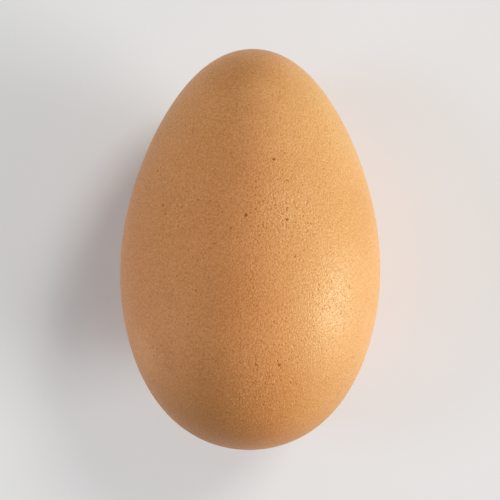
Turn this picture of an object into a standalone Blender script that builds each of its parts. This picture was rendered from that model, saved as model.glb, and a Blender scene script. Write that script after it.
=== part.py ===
"""A long brown hen's egg, whole in its shell, lying on its side.

The egg is one turned solid, with its long axis along Y and its pointed end towards +Y. It lies as an egg
does on a table: the pointed end is a little low, so that the centre of mass is straight above the spot that
it rests on. Metres, +Z up. The origin is on the surface that the egg lies on, under the middle of its box.
"""

import math

import bpy

# Driving dimensions
LENGTH = 0.0666
BREADTH = 0.0430

# Along the axis, s goes from -1 at the blunt end to 1 at the pointed end. The half breadth is that of an
# ellipse times 1 + OUTLINE[0] * s + OUTLINE[1] * s**2 and so on. The first share tapers the egg, and the
# others make its sides fuller or flatter.
OUTLINE = (-0.127, -0.051, -0.012, 0.087)

# The small flat spot that it rests on is cut this far into the round side.
REST_DEPTH = 0.0003

# Fineness of the solid, and of the sums that find its centre of mass
PROFILE_STEPS = 50
TURN_STEPS = 72
FINE_STEPS = 2000
MERGE_DISTANCE = 0.00001

# The slab that stands for the table, when the flat spot is cut
SLAB_MARGIN = 0.02
SLAB_DEPTH = 0.01

SHELL_COLOUR = (0.62, 0.27, 0.08, 1.0)
SHELL_ROUGHNESS = 0.5


def unscaled_half_breadth(s):
    """Half breadth at s, before it is brought to the egg's breadth."""
    factor = 1 + sum(share * s**power for power, share in enumerate(OUTLINE, start=1))
    return math.sqrt(max(0.0, 1 - s * s)) * factor


def profile(steps):
    """Points (distance along the axis from mid length, half breadth), from the blunt to the pointed end."""
    stations = [-math.cos(math.pi * i / steps) for i in range(steps + 1)]
    fine_stations = [2 * i / FINE_STEPS - 1 for i in range(FINE_STEPS + 1)]
    widest = max(unscaled_half_breadth(s) for s in fine_stations)
    return [(LENGTH / 2 * s, BREADTH / 2 * unscaled_half_breadth(s) / widest) for s in stations]


def centre_of_mass(points):
    """Where the centre of mass lies along the axis: the egg is taken as a stack of thin slices of a cone."""
    volume = 0.0
    moment = 0.0
    for (y0, r0), (y1, r1) in zip(points, points[1:]):
        slab = (y1 - y0) * (r0 * r0 + r0 * r1 + r1 * r1)
        volume += slab
        moment += slab * (y0 + y1) / 2
    return moment / volume


def resting_pose(points):
    """(tilt, height) of the egg at rest: how far its pointed end dips, and how high its mid length is.

    It rests on the point of its side that is nearest to the centre of mass.
    """
    centre = centre_of_mass(points)
    contact_y, contact_r = min(points, key=lambda point: math.hypot(point[0] - centre, point[1]))
    tilt = math.atan2(contact_y - centre, contact_r)
    height = contact_r * math.cos(tilt) + contact_y * math.sin(tilt) - REST_DEPTH
    return tilt, height


def middle_of_span(points, tilt):
    """Where the middle of the tilted egg's span along Y lies, measured from mid length."""
    high = max(y * math.cos(tilt) + r * math.sin(tilt) for y, r in points)
    low = min(y * math.cos(tilt) - r * math.sin(tilt) for y, r in points)
    return (high + low) / 2


def shell_material():
    """Matt brown eggshell."""
    material = bpy.data.materials.new("brown_eggshell")
    material.use_nodes = True
    shader = material.node_tree.nodes["Principled BSDF"]
    shader.inputs["Base Color"].default_value = SHELL_COLOUR
    shader.inputs["Roughness"].default_value = SHELL_ROUGHNESS
    shader.inputs["Metallic"].default_value = 0.0
    return material


def turned_egg(collection):
    """The egg as a profile turned about its own Z axis, laid down on its side."""
    fine_points = profile(FINE_STEPS)
    tilt, height = resting_pose(fine_points)

    # The profile runs down its outer side, from the pointed end to the blunt end.
    corners = [(r, 0.0, y) for y, r in reversed(profile(PROFILE_STEPS))]
    edges = [(i, i + 1) for i in range(len(corners) - 1)]
    mesh = bpy.data.meshes.new("egg")
    mesh.from_pydata(corners, edges, [])

    egg = bpy.data.objects.new("egg", mesh)
    collection.objects.link(egg)
    egg.location = (0.0, -middle_of_span(fine_points, tilt), height)
    egg.rotation_euler = (-(math.pi / 2 + tilt), 0.0, 0.0)
    egg.data.materials.append(shell_material())

    turn = egg.modifiers.new("turn", "SCREW")
    turn.axis = "Z"
    turn.angle = 2 * math.pi
    turn.steps = TURN_STEPS
    turn.render_steps = TURN_STEPS
    turn.use_merge_vertices = True
    turn.merge_threshold = MERGE_DISTANCE
    turn.use_smooth_shade = True
    return egg


def cut_flat_spot(egg, collection):
    """Cuts the egg level where it meets the table, so that it doesn't roll."""
    bpy.ops.mesh.primitive_cube_add(size=1.0, location=(0.0, 0.0, -SLAB_DEPTH / 2))
    slab = bpy.context.active_object
    slab.name = "table_slab"
    slab.scale = (BREADTH + SLAB_MARGIN, LENGTH + SLAB_MARGIN, SLAB_DEPTH)
    slab.hide_render = True
    slab.display_type = "WIRE"
    for holder in list(slab.users_collection):
        holder.objects.unlink(slab)
    collection.objects.link(slab)

    cut = egg.modifiers.new("flat_spot", "BOOLEAN")
    cut.operation = "DIFFERENCE"
    cut.solver = "EXACT"
    cut.object = slab


def new_collection(name):
    collection = bpy.data.collections.new(name)
    bpy.context.scene.collection.children.link(collection)
    return collection


def main():
    for old in list(bpy.data.objects):
        bpy.data.objects.remove(old, do_unlink=True)
    egg = turned_egg(new_collection("long_egg"))
    cut_flat_spot(egg, new_collection("cutters"))
    bpy.context.view_layer.update()


main()
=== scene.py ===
"""The looks of a long brown hen's egg: its pored shell, the pale sheet that it lies on, light and camera.

The shell is modelled from the frame's own size. It is finer than the CAD solid, has a real shell's
unevenness, and rides on the one body, "root". Metres, +Z up. The egg lies along Y, and its pointed end
is towards +Y and a little low.
"""

import math

import bmesh
import bpy
from mathutils import Matrix, Vector, noise


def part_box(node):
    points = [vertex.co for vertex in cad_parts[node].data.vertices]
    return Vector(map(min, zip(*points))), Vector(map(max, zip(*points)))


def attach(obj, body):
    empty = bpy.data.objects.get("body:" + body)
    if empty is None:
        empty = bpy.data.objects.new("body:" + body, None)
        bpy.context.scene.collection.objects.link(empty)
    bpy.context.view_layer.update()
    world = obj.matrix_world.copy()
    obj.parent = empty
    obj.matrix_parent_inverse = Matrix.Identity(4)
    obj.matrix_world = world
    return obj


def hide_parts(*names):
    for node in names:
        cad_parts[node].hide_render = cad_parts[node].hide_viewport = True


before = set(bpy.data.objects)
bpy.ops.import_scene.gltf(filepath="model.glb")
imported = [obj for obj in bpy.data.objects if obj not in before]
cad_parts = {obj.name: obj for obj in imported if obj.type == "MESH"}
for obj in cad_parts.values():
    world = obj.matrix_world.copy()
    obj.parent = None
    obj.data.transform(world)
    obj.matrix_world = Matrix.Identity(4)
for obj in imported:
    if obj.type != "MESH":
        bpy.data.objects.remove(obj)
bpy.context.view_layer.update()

bl_info = {
    "name": "Long Brown Egg",
    "version": (1, 0, 0),
    "blender": (4, 5, 0),
    "location": "View3D > Sidebar > Long Egg",
    "description": "Models a long brown egg in its pored shell, on a pale sheet in soft light",
    "category": "Add Mesh",
}

MM = 0.001
BODY = "root"
NODE = "egg"

# The egg's size comes from the frame. The CAD egg is 43.0 mm across and 66.6 mm long.
EGG_LOW, EGG_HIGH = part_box(NODE)
BREADTH = EGG_HIGH.x - EGG_LOW.x
LENGTH = BREADTH * 66.6 / 43.0
REST_DEPTH = 0.3 * MM

# Along the axis, s goes from -1 at the blunt end to 1 at the pointed end. The half breadth is that of an
# ellipse times 1 + OUTLINE[0] * s + OUTLINE[1] * s**2 and so on, as in the CAD egg.
OUTLINE = (-0.127, -0.051, -0.012, 0.087)
PROFILE_STEPS = 2000
FIT_TOLERANCE = 0.25 * MM

# Each side of the cube that the shell starts from is cut into this many rows. The mesh has broad waves and
# a fine grain of these sizes.
SHELL_ROWS = 128
WAVE_SIZE = 9.0 * MM
MESH_GRAIN_SIZE = 0.9 * MM

# The larger specks of the upper side: (across, along, radius, strength). Across and along are millimetres
# from the middle of the egg's axis.
SPECKS = (
    (3.4, 12.3, 0.36, 0.90),
    (3.2, 11.3, 0.22, 0.70),
    (-0.8, 3.3, 0.36, 0.90),
    (5.5, 2.8, 0.33, 0.90),
    (4.8, 3.6, 0.22, 0.70),
    (0.7, 4.3, 0.20, 0.70),
    (1.1, -19.4, 0.28, 0.80),
    (4.7, -19.4, 0.34, 0.90),
    (-13.8, 5.2, 0.30, 0.70),
    (-13.4, 3.8, 0.24, 0.80),
    (-8.3, 5.8, 0.26, 0.60),
    (-14.9, 11.1, 0.28, 0.55),
    (-8.3, -8.2, 0.22, 0.70),
    (5.5, 9.0, 0.22, 0.75),
    (-3.0, 1.3, 0.22, 0.60),
    (6.8, -2.9, 0.24, 0.70),
    (7.2, 7.2, 0.20, 0.60),
    (7.0, 4.6, 0.22, 0.60),
    (-2.6, 7.4, 0.18, 0.55),
    (-0.1, 3.7, 0.20, 0.60),
)

# The rougher patches of the upper side, pebbly, with deeper pores and with pale flecks that are painted
# glints, in the same form
ROUGH_PATCHES = (
    (6.3, 4.7, 7.5, 0.85),
    (-10.7, 5.6, 4.0, 1.0),
    (-14.4, -17.6, 4.0, 0.8),
    (13.0, -8.5, 8.5, 0.65),
    (0.5, -24.0, 12.0, 0.6),
)

# The patches that are rubbed a little glossy, in the same form
GLOSSY_PATCHES = (
    (14.0, -8.5, 8.5, 1.0),
    (5.8, 4.9, 5.5, 0.6),
    (-10.0, 5.6, 4.5, 0.7),
)

# Broad patches of the upper side painted lighter, with a strength above 0, or darker, with one below 0:
# painted light and shade, and painted sheen on the lower left and above the middle, in the same form
PAINTED_LIGHT_PATCHES = (
    (17.0, 5.0, 10.0, -0.11),
    (-2.0, -9.7, 9.0, -0.07),
    (3.6, 18.0, 9.0, 0.08),
    (9.8, -27.0, 8.0, 0.10),
    (0.0, -30.5, 6.5, -0.10),
    (-3.3, 27.5, 7.0, -0.13),
    (6.2, 4.8, 5.5, 0.06),
    (-10.2, -23.5, 6.5, 0.08),
    (-16.2, -18.0, 6.5, 0.15),
    (0.8, 24.0, 4.5, 0.10),
)

# How far from its centre a patch, speck or dot is at full strength, as a share of its radius
PATCH_CORE = 0.2
SPECK_CORE = 0.4
DOT_CORE = 0.15

# The edges of the specks bend in and out at this size, and by up to half this reach.
EDGE_BEND = 0.4 * MM
EDGE_REACH = 0.35 * MM

# How strongly the red, green and blue of the shell change where it is a little darker or lighter
DEEPENING = (0.72, 1.0, 1.55)

# Where the colours of the two ends begin, as shares of half the length, and the size of the soft patches
BLUNT_START = -0.35
POINTED_START = -0.1
MOTTLE_SIZE = 4.0 * MM

# The grain and the pits are stretched along the egg. Their width is this share of their length.
STRETCH = 0.85

# The pores crowd together in places, where a broad noise rises between these values.
CROWDING_SIZE = 7.0 * MM
CROWDING_RANGE = (0.25, 0.75)

# Pores, pits and flecks stand in this share of their cells, and blots in fewer.
DOT_SHARE = 0.9
BLOT_SHARE = 0.5

# The sizes of the fine pits, of the flecks and pebbles of a rough patch, and of the scattered blots
PIT_RADIUS = 0.13 * MM
FLECK_SPACING = 0.52 * MM
FLECK_RADIUS = 0.23 * MM
PEBBLE_SIZE = 0.24 * MM
BLOT_SPACING = 2.4 * MM
BLOT_RADIUS = 0.24 * MM

# How strongly the pores are coloured, how much more where they crowd and where the shell is rough, and how
# strongly the pits, the pale flecks of painted glints and the blots are coloured
PORE_STAIN = 0.45
CROWDED_STAIN = 0.3
ROUGH_STAIN = 0.5
PIT_STAIN = 0.25
PAINTED_GLINT_STAIN = 0.5
BLOT_STAIN = 0.55

# The heights of the relief in millimetres: the grain and the pits, each with what a rough patch adds to it,
# and the pebbles and flecks of a rough patch
GRAIN_HEIGHT = 0.078
ROUGH_GRAIN = 0.012
PIT_DEPTH = 0.048
ROUGH_PITS = 0.024
PEBBLE_HEIGHT = 0.05
FLECK_HEIGHT = 0.035

# How much deeper the pores of a rough patch are, as a share
ROUGH_PORES = 0.8

# The relief sinks by this share towards the pointed end, between these shares of half the length.
SMOOTHING = 0.5
SMOOTH_RANGE = (0.2, 0.9)

# The shell's roughness, and how much smoother it is on the top of the grain and where it is rubbed
MATTNESS = 0.54
GRAIN_GLOSS = 0.16
RUBBED_GLOSS = 0.19
SHELL_IOR = 1.5
SPECULAR_LEVEL = 0.28
SPECULAR_TINT = (1.0, 0.72, 0.38)

SHEET_HALF_SIZE = 1.5
SHEET_ROUGHNESS = 0.85

# The camera looks straight down from this far above the egg's middle, and sees this much of it. It stands
# a little off the middle, and the picture is turned a little.
VIEW_HEIGHT = 250.0 * MM
VIEW_WIDTH = 83.0 * MM
SENSOR_WIDTH = 36.0
CAMERA_PLACE = (-0.10 * MM, -0.33 * MM, 21.0 * MM + VIEW_HEIGHT)
CAMERA_ROLL = 0.91
CLIP_RANGE = (0.01, 10.0)

# The broad lights, all this far from the egg: name, azimuth and elevation in degrees, width, height, share
# of the window's power, and colour. Azimuth 0 is the picture's right, and 90 its top.
LIGHT_DISTANCE = 1.2
LIGHTS = (
    ("window", -10.5, 12.0, 0.62, 0.36, 1.0, (1.03, 1.0, 0.98)),
    ("upper_right_fill", 46.0, 48.0, 0.34, 0.34, 0.262, (1.04, 1.01, 0.97)),
    ("high_left_fill", 180.0, 42.0, 0.35, 0.35, 0.106, (0.87, 0.96, 1.04)),
    ("low_left_fill", 203.0, 10.0, 0.40, 0.28, 0.147, (0.86, 0.95, 1.15)),
)

# The camera's response to light is even up to the first point and softer after it, so that the lit side
# keeps its colour.
TONES = ((0.5, 0.5), (0.65, 0.62), (0.8, 0.717), (1.1, 0.886), (1.3, 0.99))
BRIGHTEST = 2.0


class EggShape(bpy.types.PropertyGroup):
    """The egg's size and the unevenness of its shell"""

    length: bpy.props.FloatProperty(
        name="Length",
        description="From the blunt end to the pointed end",
        default=LENGTH,
        min=0.0,
        unit="LENGTH",
    )
    breadth: bpy.props.FloatProperty(
        name="Breadth",
        description="Across the widest place",
        default=BREADTH,
        min=0.0,
        unit="LENGTH",
    )
    rest_depth: bpy.props.FloatProperty(
        name="Resting Spot Depth",
        description="How deep the small flat spot is cut that the egg rests on",
        default=REST_DEPTH,
        min=0.0,
        unit="LENGTH",
    )
    wave_height: bpy.props.FloatProperty(
        name="Wave Height",
        description="Height of the broad, shallow waves in the shell",
        default=0.035 * MM,
        min=0.0,
        unit="LENGTH",
    )
    grain_height: bpy.props.FloatProperty(
        name="Grain Height",
        description="Height of the fine grain in the shell",
        default=0.010 * MM,
        min=0.0,
        unit="LENGTH",
    )


class ShellFinish(bpy.types.PropertyGroup):
    """The colours, the grain and the pores of the shell"""

    colour: bpy.props.FloatVectorProperty(
        name="Shell",
        description="Colour of the shell round the middle of the egg",
        subtype="COLOR",
        default=(0.620, 0.259, 0.094),
        min=0.0,
        max=1.0,
    )
    # Partly painted shade: the blunt end is deeper for its thicker pigment and darker for the light that is
    # missing from that end.
    blunt_colour_and_shade: bpy.props.FloatVectorProperty(
        name="Blunt End",
        description="Colour at the blunt end, where the pigment is thicker",
        subtype="COLOR",
        default=(0.405, 0.160, 0.041),
        min=0.0,
        max=1.0,
    )
    pointed_colour: bpy.props.FloatVectorProperty(
        name="Pointed End",
        description="Colour at the pointed end, where the pigment is thinner",
        subtype="COLOR",
        default=(0.594, 0.273, 0.095),
        min=0.0,
        max=1.0,
    )
    pore_colour: bpy.props.FloatVectorProperty(
        name="Pores",
        description="Colour at the bottom of a pore",
        subtype="COLOR",
        default=(0.400, 0.138, 0.026),
        min=0.0,
        max=1.0,
    )
    speck_colour: bpy.props.FloatVectorProperty(
        name="Specks",
        description="Colour of the darker specks of pigment",
        subtype="COLOR",
        default=(0.235, 0.068, 0.010),
        min=0.0,
        max=1.0,
    )
    # Painted glints: the colour of the pale flecks on the rough patches, which stand in for glints of light
    painted_glint_colour: bpy.props.FloatVectorProperty(
        name="Flecks",
        description="Colour of the small pale flecks where the shell is rough",
        subtype="COLOR",
        default=(0.90, 0.60, 0.34),
        min=0.0,
        max=1.0,
    )
    mottle_contrast: bpy.props.FloatProperty(
        name="Mottling",
        description="How much lighter and darker the broad patches of the shell are",
        default=0.10,
        min=0.0,
        max=1.0,
    )
    grain_contrast: bpy.props.FloatProperty(
        name="Grain",
        description="How much lighter and darker the fine grain of the shell is",
        default=0.86,
        min=0.0,
        max=1.0,
    )
    grain_size: bpy.props.FloatProperty(
        name="Grain Size",
        description="Size of the fine grain",
        default=0.27 * MM,
        min=0.01 * MM,
        unit="LENGTH",
    )
    pit_spacing: bpy.props.FloatProperty(
        name="Pit Spacing",
        description="Usual distance between two of the fine pits that cover the shell",
        default=0.34 * MM,
        min=0.01 * MM,
        unit="LENGTH",
    )
    pore_spacing: bpy.props.FloatProperty(
        name="Pore Spacing",
        description="Usual distance between two pores",
        default=0.62 * MM,
        min=0.01 * MM,
        unit="LENGTH",
    )
    pore_radius: bpy.props.FloatProperty(
        name="Pore Radius",
        description="Half the width of a pore's mouth",
        default=0.25 * MM,
        min=0.01 * MM,
        unit="LENGTH",
    )
    pore_depth: bpy.props.FloatProperty(
        name="Pore Depth",
        description="Depth of a pore's mouth",
        default=0.030 * MM,
        min=0.0,
        unit="LENGTH",
    )


class EggStage(bpy.types.PropertyGroup):
    """The sheet under the egg, and the light"""

    sheet_colour: bpy.props.FloatVectorProperty(
        name="Sheet",
        description="Colour of the pale sheet",
        subtype="COLOR",
        default=(0.89, 0.89, 0.885),
        min=0.0,
        max=1.0,
    )
    window_power: bpy.props.FloatProperty(
        name="Window Light",
        description="Power of the broad light from the right",
        default=20.0,
        min=0.0,
        unit="POWER",
    )
    room_light: bpy.props.FloatProperty(
        name="Room Light",
        description="Strength of the even light from all round",
        default=0.285,
        min=0.0,
    )


class Value:
    """A node's output. Sums of values, and of values with numbers, add Math nodes."""

    def __init__(self, nodes, socket):
        self.nodes = nodes
        self.socket = socket

    def output(self, name):
        """Another output of the same node."""
        return Value(self.nodes, self.socket.node.outputs[name])

    def _math(self, operation, first, second):
        return self.nodes.add("ShaderNodeMath", {"operation": operation}, {0: first, 1: second})

    def __add__(self, other):
        return self._math("ADD", self, other)

    def __sub__(self, other):
        return self._math("SUBTRACT", self, other)

    def __mul__(self, other):
        return self._math("MULTIPLY", self, other)

    def __radd__(self, other):
        return self._math("ADD", other, self)

    def __rsub__(self, other):
        return self._math("SUBTRACT", other, self)

    def __rmul__(self, other):
        return self._math("MULTIPLY", other, self)


class MaterialNodes:
    """A new material and its node tree."""

    def __init__(self, name):
        self.material = bpy.data.materials.new(name)
        self.material.use_nodes = True
        self.tree = self.material.node_tree
        self.surface = self.tree.nodes["Principled BSDF"]

    def add(self, kind, settings, inputs, output=0):
        """Adds a node, with its settings first, then its sockets. Returns one of its outputs."""
        node = self.tree.nodes.new(kind)
        for name, setting in settings.items():
            setattr(node, name, setting)
        self.fill(node, inputs)
        return Value(self, node.outputs[output])

    def fill(self, node, inputs):
        for name, value in inputs.items():
            if isinstance(value, Value):
                self.tree.links.new(value.socket, node.inputs[name])
            else:
                node.inputs[name].default_value = value

    def vector(self, operation, *inputs, output="Vector"):
        """A Vector Math node on these inputs."""
        sockets = dict(enumerate(inputs))
        return self.add("ShaderNodeVectorMath", {"operation": operation}, sockets, output)

    def mix(self, share, first, second):
        """The first colour, with a share of the second."""
        return self.add("ShaderNodeMix", {"data_type": "RGBA"}, {0: share, 6: first, 7: second}, 2)

    def shade(self, colour, change):
        """The colour made lighter, or darker and deeper, by a change above or below 0."""
        swing = self.vector("MULTIPLY", DEEPENING, change)
        return self.vector("MULTIPLY_ADD", colour, swing, colour)

    def noise(self, place, size, detail):
        """Soft noise from 0 to 1, whose patches are about this size."""
        return self.add("ShaderNodeTexNoise", {}, {"Vector": place, "Scale": 1 / size, "Detail": detail})

    def step(self, value, start, end):
        """Rises smoothly from 0 where the value is start to 1 where it is end."""
        settings = {"interpolation_type": "SMOOTHSTEP"}
        return self.add("ShaderNodeMapRange", settings, {0: value, 1: start, 2: end})

    def dots(self, place, spacing, radius, share):
        """A mask of round dots of different strengths, one in a share of the cells of this spacing."""
        cell = self.add("ShaderNodeTexVoronoi", {}, {"Vector": place, "Scale": 1 / spacing}, "Distance")
        chance = self.add("ShaderNodeSeparateColor", {}, {"Color": cell.output("Color")}, "Red")
        strength = self.step(chance, 1 - share, 1.0)
        return self.step(cell, radius / spacing, DOT_CORE * radius / spacing) * strength


def opaque(colour):
    return (*colour, 1.0)


def unscaled_half_breadth(s):
    """Half breadth at s, before it is brought to the egg's breadth."""
    factor = 1 + sum(share * s**power for power, share in enumerate(OUTLINE, start=1))
    return math.sqrt(max(0.0, 1 - s * s)) * factor


class EggForm:
    """The egg's outline, and how it lies on the sheet."""

    def __init__(self, shape):
        stations = [-math.cos(math.pi * i / PROFILE_STEPS) for i in range(PROFILE_STEPS + 1)]
        self.half_length = shape.length / 2
        self.scale = shape.breadth / 2 / max(unscaled_half_breadth(s) for s in stations)
        outline = [(self.half_length * s, self.half_breadth(s)) for s in stations]
        centre = self.centre_of_mass(outline)
        contact_y, contact_r = min(outline, key=lambda point: math.hypot(point[0] - centre, point[1]))
        self.tilt = math.atan2(contact_y - centre, contact_r)
        tilt_cos = math.cos(self.tilt)
        tilt_sin = math.sin(self.tilt)
        high = max(y * tilt_cos + r * tilt_sin for y, r in outline)
        low = min(y * tilt_cos - r * tilt_sin for y, r in outline)
        height = contact_r * tilt_cos + contact_y * tilt_sin - shape.rest_depth
        self.middle = Vector((0.0, -(high + low) / 2, height))

    def half_breadth(self, s):
        return self.scale * unscaled_half_breadth(s)

    def centre_of_mass(self, outline):
        """How far along the axis the centre of mass is. The egg is taken as a stack of slices of cones."""
        volume = 0.0
        moment = 0.0
        for (y0, r0), (y1, r1) in zip(outline, outline[1:]):
            slab = (y1 - y0) * (r0 * r0 + r0 * r1 + r1 * r1)
            volume += slab
            moment += slab * (y0 + y1) / 2
        return moment / volume

    def on_surface(self, direction):
        """The point of the egg, in its own axes, for a direction from its middle."""
        across = math.hypot(direction.x, direction.z)
        radius = self.half_breadth(direction.y)
        turn = radius / across if across else 0.0
        return Vector((direction.x * turn, direction.y * self.half_length, direction.z * turn))

    def on_top(self, across, along):
        """The point of the egg's upper side at these distances from the middle of its axis."""
        radius = self.half_breadth(along / self.half_length)
        return Vector((across, along, math.sqrt(radius * radius - across * across)))

    def placed(self):
        """Lays the egg down, from its own axes."""
        return Matrix.Translation(self.middle) @ Matrix.Rotation(-self.tilt, 4, "X")


def even_direction(corner):
    """Spreads the grid on a cube's sides evenly over a sphere."""
    return Vector([math.tan(part * math.pi / 4) for part in corner]).normalized()


def shell_hollow(point, shape):
    """How far the shell lies inside the even egg at a point of its own axes: broad waves and fine grain."""
    broad = 0.5 - 0.5 * noise.noise(point / WAVE_SIZE)
    grain = 0.5 - 0.5 * noise.noise(point / MESH_GRAIN_SIZE)
    return shape.wave_height * broad + shape.grain_height * grain


def shell_mesh(form, shape):
    shell = bmesh.new()
    bmesh.ops.create_cube(shell, size=2.0)
    bmesh.ops.subdivide_edges(shell, edges=shell.edges[:], cuts=SHELL_ROWS - 1, use_grid_fill=True)
    for vert in shell.verts:
        vert.co = form.on_surface(even_direction(vert.co))
    shell.normal_update()
    for vert in shell.verts:
        vert.co -= vert.normal * shell_hollow(vert.co, shape)
    shell.transform(form.placed())
    for vert in shell.verts:
        vert.co.z = max(vert.co.z, 0.0)
    for face in shell.faces:
        face.smooth = True
    mesh = bpy.data.meshes.new("egg_shell")
    shell.to_mesh(mesh)
    shell.free()
    return mesh


def rise_along(nodes, place, form, start, end):
    """Rises smoothly from 0 to 1 along the egg's axis, between these shares of half its length."""
    along = nodes.add("ShaderNodeSeparateXYZ", {}, {"Vector": place}, "Y")
    return nodes.step(along, start * form.half_length, end * form.half_length)


def pigment(nodes, place, form, finish):
    """The shell's colour in soft patches, paler at the pointed end, and deeper and darker at the blunt end:
    partly thicker pigment, partly painted shade.
    """
    blunt = rise_along(nodes, place, form, BLUNT_START, -1.0)
    pointed = rise_along(nodes, place, form, POINTED_START, 1.0)
    colour = nodes.mix(blunt, opaque(finish.colour), opaque(finish.blunt_colour_and_shade))
    colour = nodes.mix(pointed, colour, opaque(finish.pointed_colour))
    mottle = nodes.noise(place, MOTTLE_SIZE, 4.0)
    return nodes.shade(colour, finish.mottle_contrast * (mottle - 0.5))


def spots(nodes, place, form, places, core):
    """A mask of round spots on the upper side, each fading from this share of its radius outwards."""
    mask = 0.0
    for across, along, radius, strength in places:
        spot = form.on_top(across * MM, along * MM)
        distance = nodes.vector("DISTANCE", place, spot, output="Value")
        mask = mask + nodes.step(distance, radius * MM, core * radius * MM) * strength
    return mask


def shaken(nodes, place):
    """The place moved a little to all sides, so that what is drawn there has an uneven edge."""
    shake = nodes.add("ShaderNodeTexNoise", {}, {"Vector": place, "Scale": 1 / EDGE_BEND}, "Color")
    centred = nodes.vector("SUBTRACT", shake, (0.5, 0.5, 0.5))
    return nodes.vector("MULTIPLY_ADD", centred, (EDGE_REACH,) * 3, place)


def shell_material(form, finish):
    """Matt brown eggshell: soft patches of pigment, fine grain, pits, pores and darker specks, with broad
    patches of painted light and shade and pale flecks painted as glints.
    """
    nodes = MaterialNodes("brown_eggshell")
    coordinates = nodes.add("ShaderNodeTexCoord", {}, {}, "Object")
    place = nodes.add(
        "ShaderNodeMapping",
        {"vector_type": "TEXTURE"},
        {"Vector": coordinates, "Location": form.middle, "Rotation": (-form.tilt, 0.0, 0.0)},
    )
    stretched = nodes.vector("MULTIPLY", place, (1.0, STRETCH, 1.0))

    grain = nodes.noise(stretched, finish.grain_size, 1.0)
    crowding = nodes.step(nodes.noise(place, CROWDING_SIZE, 1.0), *CROWDING_RANGE)
    rough = spots(nodes, place, form, ROUGH_PATCHES, PATCH_CORE)
    rubbed = spots(nodes, place, form, GLOSSY_PATCHES, PATCH_CORE)
    pores = nodes.dots(place, finish.pore_spacing, finish.pore_radius, DOT_SHARE)
    pits = nodes.dots(stretched, finish.pit_spacing, PIT_RADIUS, DOT_SHARE)
    # Pale flecks on the rough patches: painted glints, with a little relief
    flecks = nodes.dots(place, FLECK_SPACING, FLECK_RADIUS, DOT_SHARE) * rough
    blots = nodes.dots(place, BLOT_SPACING, BLOT_RADIUS, BLOT_SHARE)
    specks = spots(nodes, shaken(nodes, place), form, SPECKS, SPECK_CORE)
    pebbles = nodes.add("ShaderNodeTexVoronoi", {}, {"Vector": place, "Scale": 1 / PEBBLE_SIZE}, "Distance")

    # Broad patches of painted light and shade, added to the grain's change of colour
    painted_light_and_shade = spots(nodes, place, form, PAINTED_LIGHT_PATCHES, PATCH_CORE)
    change = finish.grain_contrast * (grain - 0.5) + painted_light_and_shade
    stain = PORE_STAIN + CROWDED_STAIN * crowding + ROUGH_STAIN * rough
    colour = nodes.shade(pigment(nodes, place, form, finish), change)
    colour = nodes.mix(pores * stain, colour, opaque(finish.pore_colour))
    colour = nodes.mix(pits * PIT_STAIN, colour, opaque(finish.pore_colour))
    # Painted glints: the pale flecks
    colour = nodes.mix(flecks * PAINTED_GLINT_STAIN, colour, opaque(finish.painted_glint_colour))
    colour = nodes.mix(blots * BLOT_STAIN, colour, opaque(finish.speck_colour))
    colour = nodes.mix(specks, colour, opaque(finish.speck_colour))

    pit_depth = (PIT_DEPTH + ROUGH_PITS * rough) * pits
    pore_depth = (finish.pore_depth / MM) * (1 + ROUGH_PORES * rough) * pores
    relief = (GRAIN_HEIGHT + ROUGH_GRAIN * rough) * grain - PEBBLE_HEIGHT * rough * pebbles
    relief = relief + FLECK_HEIGHT * flecks - pit_depth - pore_depth
    height = relief * (1 - SMOOTHING * rise_along(nodes, place, form, *SMOOTH_RANGE))
    bump = nodes.add("ShaderNodeBump", {}, {"Height": height, "Distance": MM, "Strength": 1.0})
    nodes.fill(
        nodes.surface,
        {
            "Base Color": colour,
            "Roughness": MATTNESS - GRAIN_GLOSS * grain - RUBBED_GLOSS * rubbed,
            "Normal": bump,
            "Metallic": 0.0,
            "IOR": SHELL_IOR,
            "Specular IOR Level": SPECULAR_LEVEL,
            "Specular Tint": opaque(SPECULAR_TINT),
        },
    )
    return nodes.material


def check_size(shell):
    """Raises an error if the shell doesn't fit the frame's egg."""
    for axis in range(3):
        places = [vert.co[axis] for vert in shell.vertices]
        gaps = (abs(min(places) - EGG_LOW[axis]), abs(max(places) - EGG_HIGH[axis]))
        if max(gaps) > FIT_TOLERANCE:
            raise ValueError(f"the shell doesn't fit the frame's egg along axis {axis}")


def sheet_material(stage):
    """Plain pale paper."""
    nodes = MaterialNodes("pale_sheet")
    sockets = {"Base Color": opaque(stage.sheet_colour), "Roughness": SHEET_ROUGHNESS}
    nodes.fill(nodes.surface, sockets)
    return nodes.material


def place_light(name, azimuth, elevation, width, height, power, colour):
    """A broad soft light, aimed at the middle of the egg."""
    light = bpy.data.lights.new(name, "AREA")
    light.shape = "RECTANGLE"
    light.size = width
    light.size_y = height
    light.energy = power
    light.color = colour
    lamp = bpy.data.objects.new(name, light)
    bpy.context.scene.collection.objects.link(lamp)
    tip = Matrix.Rotation(-math.radians(elevation), 4, "Y")
    turn = Matrix.Rotation(math.radians(azimuth), 4, "Z")
    direction = turn @ tip @ Vector((1.0, 0.0, 0.0))
    lamp.location = (EGG_LOW + EGG_HIGH) / 2 + direction * LIGHT_DISTANCE
    lamp.rotation_euler = direction.to_track_quat("Z", "Y").to_euler()


def set_tones(view):
    """Softens the brightest tones, as a photograph does."""
    view.view_transform = "Standard"
    view.use_curve_mapping = True
    mapping = view.curve_mapping
    mapping.white_level = (BRIGHTEST,) * 3
    curve = mapping.curves[3]
    for light, tone in TONES:
        curve.points.new(light / BRIGHTEST, tone)
    for point in curve.points:
        point.handle_type = "VECTOR"
    mapping.update()


class LONGEGG_OT_shell(bpy.types.Operator):
    """Models the egg's shell over the frame's egg"""

    bl_idname = "long_egg.shell"
    bl_label = "Egg Shell"

    def execute(self, context):
        shape = context.scene.egg_shape
        form = EggForm(shape)
        mesh = shell_mesh(form, shape)
        check_size(mesh)
        mesh.materials.append(shell_material(form, context.scene.shell_finish))
        shell = bpy.data.objects.new("egg_shell", mesh)
        context.scene.collection.objects.link(shell)
        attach(shell, BODY)
        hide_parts(NODE)
        return {"FINISHED"}


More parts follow.
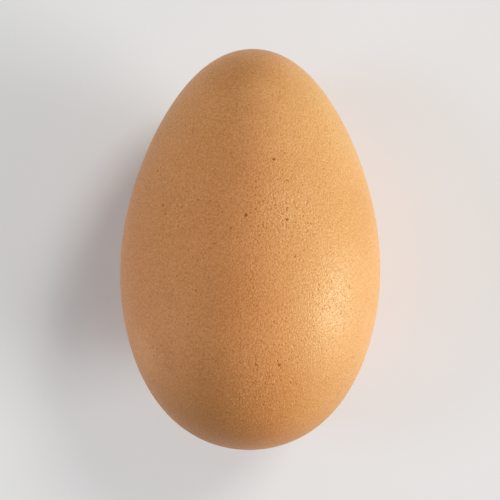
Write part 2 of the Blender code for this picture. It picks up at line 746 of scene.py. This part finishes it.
class LONGEGG_OT_stage(bpy.types.Operator):
    """Lays the pale sheet, and sets the light and the camera"""

    bl_idname = "long_egg.stage"
    bl_label = "Sheet, Light and Camera"

    def execute(self, context):
        scene = context.scene
        stage = scene.egg_stage

        sheet = bmesh.new()
        bmesh.ops.create_grid(sheet, x_segments=1, y_segments=1, size=SHEET_HALF_SIZE)
        mesh = bpy.data.meshes.new("sheet")
        sheet.to_mesh(mesh)
        sheet.free()
        mesh.materials.append(sheet_material(stage))
        floor = bpy.data.objects.new("sheet", mesh)
        scene.collection.objects.link(floor)

        for name, azimuth, elevation, width, height, share, colour in LIGHTS:
            power = share * stage.window_power
            place_light(name, azimuth, elevation, width, height, power, colour)

        world = bpy.data.worlds.new("room")
        world.use_nodes = True
        background = world.node_tree.nodes["Background"]
        background.inputs["Color"].default_value = (1.0, 1.0, 1.0, 1.0)
        background.inputs["Strength"].default_value = stage.room_light
        scene.world = world

        data = bpy.data.cameras.new("camera")
        data.sensor_width = SENSOR_WIDTH
        data.lens = SENSOR_WIDTH * VIEW_HEIGHT / VIEW_WIDTH
        data.clip_start, data.clip_end = CLIP_RANGE
        camera = bpy.data.objects.new("camera", data)
        camera.location = CAMERA_PLACE
        camera.rotation_euler = (0.0, 0.0, math.radians(CAMERA_ROLL))
        scene.collection.objects.link(camera)
        scene.camera = camera
        set_tones(scene.view_settings)
        return {"FINISHED"}


class LONGEGG_PT_panel(bpy.types.Panel):
    """Lists the egg's steps and values"""

    bl_idname = "LONGEGG_PT_panel"
    bl_label = "Long Egg"
    bl_space_type = "VIEW_3D"
    bl_region_type = "UI"
    bl_category = "Long Egg"

    def draw(self, context):
        for operator in (LONGEGG_OT_shell, LONGEGG_OT_stage):
            self.layout.operator(operator.bl_idname)
        for group in (context.scene.egg_shape, context.scene.shell_finish, context.scene.egg_stage):
            for name in group.__annotations__:
                self.layout.prop(group, name)


GROUPS = {"egg_shape": EggShape, "shell_finish": ShellFinish, "egg_stage": EggStage}
CLASSES = (*GROUPS.values(), LONGEGG_OT_shell, LONGEGG_OT_stage, LONGEGG_PT_panel)


def register():
    for cls in CLASSES:
        bpy.utils.register_class(cls)
    for name, group in GROUPS.items():
        setattr(bpy.types.Scene, name, bpy.props.PointerProperty(type=group))


def unregister():
    for name in GROUPS:
        delattr(bpy.types.Scene, name)
    for cls in reversed(CLASSES):
        bpy.utils.unregister_class(cls)


def main():
    register()
    bpy.ops.long_egg.shell()
    bpy.ops.long_egg.stage()


if __name__ == "__main__":
    main()
